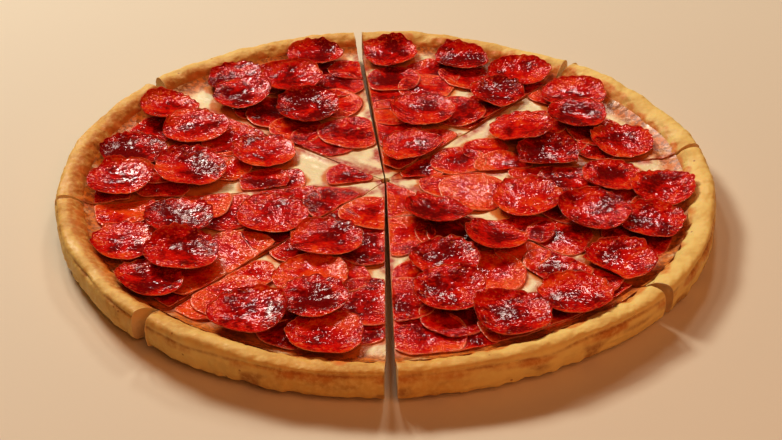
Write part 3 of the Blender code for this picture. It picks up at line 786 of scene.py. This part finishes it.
def make_cheese(number, details, material):
    """One slice's melted cheese, with the number that its stains follow on every vertex."""
    s = sizes()
    cuts = details["cuts"]
    piece = sweep(f"cheese_{number}_melted", cheese_section(), cuts, CHEESE_STEPS)
    push = slice_push(cuts)
    lines = cut_lines(cuts)
    above = []
    for x, y, diameter, _ in details["fused"]:
        above.append((x * MM, y * MM, diameter / 2.0 * MM))
    for index in range(len(details["upper"])):
        above.append(upper_disc(f"pepperoni_{number}_{index + 1}"))
    oil, rim, sauce = [], [], []
    for vert in piece.data.vertices:
        angle = math.atan2(vert.co.y, vert.co.x)
        radius, height = uneven(angle, math.hypot(vert.co.x, vert.co.y), vert.co.z)
        place = Vector((radius * math.cos(angle), radius * math.sin(angle), height)) + push
        if height > s.cheese_top - 2.0 * MM:
            share = 1.0 - ramp(radius, s.rim_foot_radius - 6.0 * MM, s.rim_foot_radius)
            place.z += share * cheese_bump(place.x, place.y)
            place.z += DIMPLE_HEIGHT * noise.noise(place / DIMPLE_WIDTH) - 0.1 * MM
        near = 1.0
        for x, y, half in above:
            clear = math.hypot(place.x - x, place.y - y) - half
            near = min(near, max(0.0, clear) / OIL_REACH)
        inland = min((place - point).dot(inward) for point, inward in lines)
        patch = ramp(0.55 + noise.noise(place / (7.0 * MM)), 0.2, 0.75)
        near_cut = patch * (1.0 - ramp(inland, 1.0 * MM, 5.0 * MM))
        near_tip = patch * (1.0 - ramp(radius, 12.0 * MM, 45.0 * MM))
        sauce.append(min(1.0, near_cut + 0.7 * near_tip))
        oil.append(1.0 - near + 0.5 * near_tip)
        rim.append(ramp(radius, s.rim_foot_radius - 9.0 * MM, s.rim_foot_radius - 1.0 * MM))
        vert.co = place + ROUND_CENTRE
    write_attributes(piece, {"oil": oil, "rim": rim, "sauce": sauce})
    smooth(piece)
    finish_piece(piece, material, [f"cheese_{number}"])
    return piece


def height_below(trees, x, y):
    """The highest surface under a place."""
    highest = 0.0
    for tree in trees:
        hit = tree.ray_cast(Vector((x, y, ABOVE_ALL)), Vector((0.0, 0.0, -1.0)))[0]
        if hit is not None:
            highest = max(highest, hit.z)
    return highest


def resting_sheet(piece, reach, trees):
    """A gently bent sheet through the heights under a piece, as a function of place."""
    x, y, diameter = piece[:3]
    centre = Vector((x, y, 0.0)) * MM + ROUND_CENTRE
    scale = diameter / 2.0 * MM
    places, heights = [], []
    for fraction in (0.0, 0.3, 0.6, 0.8, 0.97):
        for direction, radius in reach:
            spot = centre + heading_of(direction) * radius * fraction
            places.append((spot.x, spot.y))
            heights.append(height_below(trees, spot.x, spot.y))
    u = (np.array(places)[:, 0] - centre.x) / scale
    v = (np.array(places)[:, 1] - centre.y) / scale
    terms = np.stack([np.ones_like(u), u, v, u * u, u * v, v * v], axis=1)
    stiffness = np.diag([0.0, 0.5, 0.5, 25.0, 25.0, 25.0])
    weights = np.linalg.solve(terms.T @ terms + stiffness, terms.T @ np.array(heights))

    def sheet(px, py):
        a, b = (px - centre.x) / scale, (py - centre.y) / scale
        return float(np.dot(weights, (1.0, a, b, a * a, a * b, b * b)))

    return sheet


def disc_relief(place, fraction):
    """The fine unevenness of a baked piece's skin."""
    wrinkles = WRINKLE_HEIGHT * noise.noise(place / WRINKLE_WIDTH)
    wrinkles += FINE_WRINKLE_HEIGHT * noise.noise(place / FINE_WRINKLE_WIDTH)
    lip = LIP_HEIGHT * ramp(fraction, 0.84, 0.94)
    return wrinkles + lip


def make_lower(number, index, piece, cuts, trees, material):
    """A pepperoni piece baked into the cheese, made from a flattened sphere."""
    s = sizes()
    spokes = [FULL_TURN * step / DISC_SPOKES for step in range(DISC_SPOKES)]
    reach = [(direction, outline_radius(piece, cuts, direction)) for direction in spokes]
    sheet = resting_sheet(piece, reach, trees)
    deselect_all()
    bpy.ops.mesh.primitive_uv_sphere_add(
        segments=DISC_SEGMENTS, ring_count=DISC_RINGS, radius=1.0)
    disc = bpy.context.object
    disc.name = f"pepperoni_low_{number}_{index + 1}"
    centre = Vector((piece[0], piece[1], 0.0)) * MM + ROUND_CENTRE
    edge, tone, lip = [], [], []
    for vert in disc.data.vertices:
        flat = min(1.0, math.hypot(vert.co.x, vert.co.y))
        direction = math.atan2(vert.co.y, vert.co.x)
        fraction = flat ** 0.75
        level = 0.5 + 0.5 * math.copysign(abs(vert.co.z) ** 0.5, vert.co.z)
        place = centre + heading_of(direction) * outline_radius(piece, cuts, direction) * fraction
        under = sheet(place.x, place.y) - 0.5 * MM + 0.4 * curl(piece, direction, fraction)
        place.z = under + level * s.pepperoni_thickness
        place.z += disc_relief(place, fraction)
        vert.co = place
        edge.append(fraction)
        # Where the material paints the lit edge's highlight
        lip.append(ramp(fraction, 0.945, 0.985))
        tone.append(piece[3])
    write_attributes(disc, {"edge": edge, "tone": tone, "lip": lip})
    smooth(disc)
    finish_piece(disc, material, [f"cheese_{number}"])
    return disc


def sector_of(offset):
    """Which sector of a round outline a place lies in, as a number with its fraction."""
    return math.atan2(offset.y, offset.x) / FULL_TURN * UPPER_SECTORS


def make_upper(node_name, bright, material):
    """An upper pepperoni piece: its CAD form, smoothed, with a wrinkled skin and a thin lip."""
    piece = cad_copy(node_name, node_name + "_baked")
    corners = [vert.co.copy() for vert in piece.data.vertices]
    centre = sum(corners, Vector()) / len(corners)
    outer = {}
    for corner in corners:
        offset = corner - centre
        key = round(sector_of(offset)) % UPPER_SECTORS
        outer[key] = max(outer.get(key, 0.0), math.hypot(offset.x, offset.y))
    crease_sharp(piece, math.radians(50.0), 0.55)
    subdivide(piece, UPPER_LEVELS)
    edge, lip, moved = [], [], []
    for vert in piece.data.vertices:
        offset = vert.co - centre
        turn = sector_of(offset) % UPPER_SECTORS
        first, share = int(turn) % UPPER_SECTORS, turn % 1.0
        second = (first + 1) % UPPER_SECTORS
        reach = outer.get(first, USUAL_HALF) * (1.0 - share) + outer.get(second, USUAL_HALF) * share
        fraction = min(1.0, math.hypot(offset.x, offset.y) / max(reach, 1.0 * MM))
        edge.append(fraction)
        # The steep side of the edge and the very rim take the painted highlight
        side = ramp(1.0 - abs(vert.normal.z), 0.3, 0.75) * ramp(fraction, 0.84, 0.93)
        lip.append(max(side, 0.8 * ramp(fraction, 0.95, 0.99)))
        thinned = 0.6 * ramp(-vert.normal.z, -0.2, 0.6) * ramp(fraction, 0.6, 0.95)
        thinned *= sizes().pepperoni_thickness
        crinkle = ramp(fraction, 0.75, 1.0) * CRINKLE_HEIGHT * noise.noise(vert.co / CRINKLE_WIDTH)
        outwards = Vector((offset.x, offset.y, 0.0)).normalized() * crinkle
        upwards = disc_relief(vert.co, fraction) + thinned + crinkle
        moved.append(vert.co + outwards + Vector((0.0, 0.0, upwards)))
    for vert, place in zip(piece.data.vertices, moved):
        vert.co = place
    write_attributes(piece, {"edge": edge, "tone": [bright] * len(edge), "lip": lip})
    smooth(piece)
    finish_piece(piece, material, [node_name])


class PIZZA_OT_crust(bpy.types.Operator):
    """Bake the dough of every slice"""
    bl_idname = "pizza.crust"
    bl_label = "Crust"

    def execute(self, context):
        material = crust_material()
        for number in SLICES:
            make_crust(number, material)
        return {"FINISHED"}


class PIZZA_OT_cheese(bpy.types.Operator):
    """Melt the cheese of every slice and bake the lower pepperoni into it"""
    bl_idname = "pizza.cheese"
    bl_label = "Cheese and lower pepperoni"

    def execute(self, context):
        cheese = cheese_material()
        sausage = pepperoni_material()
        for number, details in SLICES.items():
            trees = [object_tree(make_cheese(number, details, cheese))]
            for index, piece in enumerate(details["fused"]):
                disc = make_lower(number, index, piece, details["cuts"], trees, sausage)
                trees.append(object_tree(disc))
        return {"FINISHED"}


class PIZZA_OT_pepperoni(bpy.types.Operator):
    """Lay the upper pepperoni on every slice"""
    bl_idname = "pizza.pepperoni"
    bl_label = "Upper pepperoni"

    def execute(self, context):
        material = bpy.data.materials.get("oily_pepperoni") or pepperoni_material()
        for number, details in SLICES.items():
            for index, bright in enumerate(details["upper"], start=1):
                make_upper(f"pepperoni_{number}_{index}", bright, material)
        return {"FINISHED"}


def area_light(name, place, aim, width, height, power, tint):
    """A soft rectangular light."""
    data = bpy.data.lights.new(name, "AREA")
    data.shape = "RECTANGLE"
    data.size = width
    data.size_y = height
    data.energy = power
    data.color = tint
    lamp = bpy.data.objects.new(name, data)
    bpy.context.scene.collection.objects.link(lamp)
    lamp.location = place
    lamp.rotation_euler = (Vector(aim) - Vector(place)).to_track_quat("-Z", "Y").to_euler()


class PIZZA_OT_stage(bpy.types.Operator):
    """Set out the floor, the light and the camera"""
    bl_idname = "pizza.stage"
    bl_label = "Stage"

    def execute(self, context):
        scene = context.scene
        deselect_all()
        bpy.ops.mesh.primitive_plane_add(size=6.0, location=(0.0, 0.0, 0.0))
        floor = context.object
        floor.name = "floor"
        material, _, shader = new_material("plain_floor")
        shader.inputs["Base Color"].default_value = (*colours().floor, 1.0)
        shader.inputs["Roughness"].default_value = 0.7
        floor.data.materials.append(material)

        world = bpy.data.worlds.new("soft_studio")
        scene.world = world
        world.use_nodes = True
        background = world.node_tree.nodes["Background"]
        background.inputs["Color"].default_value = WORLD_COLOUR
        background.inputs["Strength"].default_value = WORLD_STRENGTH
        for light in LIGHTS:
            area_light(*light)

        camera_data = bpy.data.cameras.new("camera")
        camera_data.sensor_width = 36.0
        camera_data.lens = CAMERA_LENS
        camera_data.clip_start = 0.01
        camera = bpy.data.objects.new("camera", camera_data)
        scene.collection.objects.link(camera)
        camera.location = CAMERA_PLACE + ROUND_CENTRE
        aim = CAMERA_AIM + ROUND_CENTRE
        camera.rotation_euler = (aim - camera.location).to_track_quat("-Z", "Y").to_euler()
        scene.camera = camera
        scene.view_settings.view_transform = "Standard"
        scene.view_settings.gamma = PICTURE_GAMMA
        return {"FINISHED"}


class PIZZA_PT_panel(bpy.types.Panel):
    """Sizes, colours and pieces of the pizza"""
    bl_label = "Pepperoni pizza"
    bl_space_type = "VIEW_3D"
    bl_region_type = "UI"
    bl_category = "Pizza"

    def draw(self, context):
        layout = self.layout
        for group in (context.scene.pizza_sizes, context.scene.pizza_colours):
            box = layout.box()
            for name in group.__annotations__:
                box.prop(group, name)
        for operator in OPERATORS:
            layout.operator(operator.bl_idname)


OPERATORS = (PIZZA_OT_crust, PIZZA_OT_cheese, PIZZA_OT_pepperoni, PIZZA_OT_stage)
CLASSES = (PizzaSizes, PizzaColours, *OPERATORS, PIZZA_PT_panel)


def register():
    for cls in CLASSES:
        bpy.utils.register_class(cls)
    bpy.types.Scene.pizza_sizes = bpy.props.PointerProperty(type=PizzaSizes)
    bpy.types.Scene.pizza_colours = bpy.props.PointerProperty(type=PizzaColours)


def unregister():
    del bpy.types.Scene.pizza_colours
    del bpy.types.Scene.pizza_sizes
    for cls in reversed(CLASSES):
        bpy.utils.unregister_class(cls)


def main():
    register()
    bpy.ops.pizza.crust()
    bpy.ops.pizza.cheese()
    bpy.ops.pizza.pepperoni()
    bpy.ops.pizza.stage()


if __name__ == "__main__":
    main()
